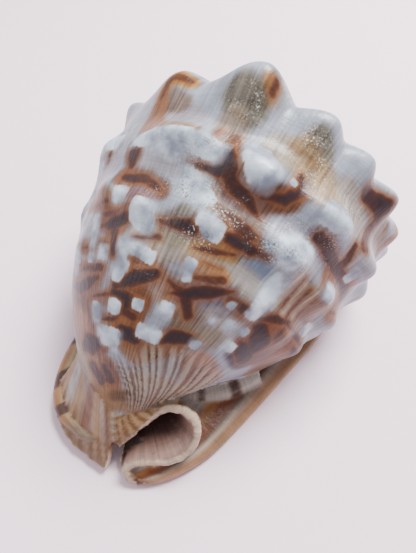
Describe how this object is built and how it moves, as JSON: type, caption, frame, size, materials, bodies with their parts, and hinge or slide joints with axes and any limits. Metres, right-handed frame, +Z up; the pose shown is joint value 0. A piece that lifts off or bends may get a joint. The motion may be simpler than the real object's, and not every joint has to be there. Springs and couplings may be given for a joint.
{
  "type": "helmet shell",
  "caption": "Heavy knobbed spiral sea shell lying on its long toothed mouth, with a low spire, a thick rolled lip, a flat shield and a folded siphon canal.",
  "frame": {"origin": "centre of the base of the shell's bounding box, on the surface it lies on", "axes": "+Y from the siphon canal towards the spire, +Z up from the mouth to the back, +X to the right seen from the canal"},
  "size_m": [0.119, 0.1364, 0.0992],
  "materials": {
    "shell": "shell like porcelain, glossy and blotched white, lilac grey and brown, worn chalky on the knobs"
  },
  "bodies": {
    "root": {"helmet_shell": "shell"}
  },
  "joints": []
}
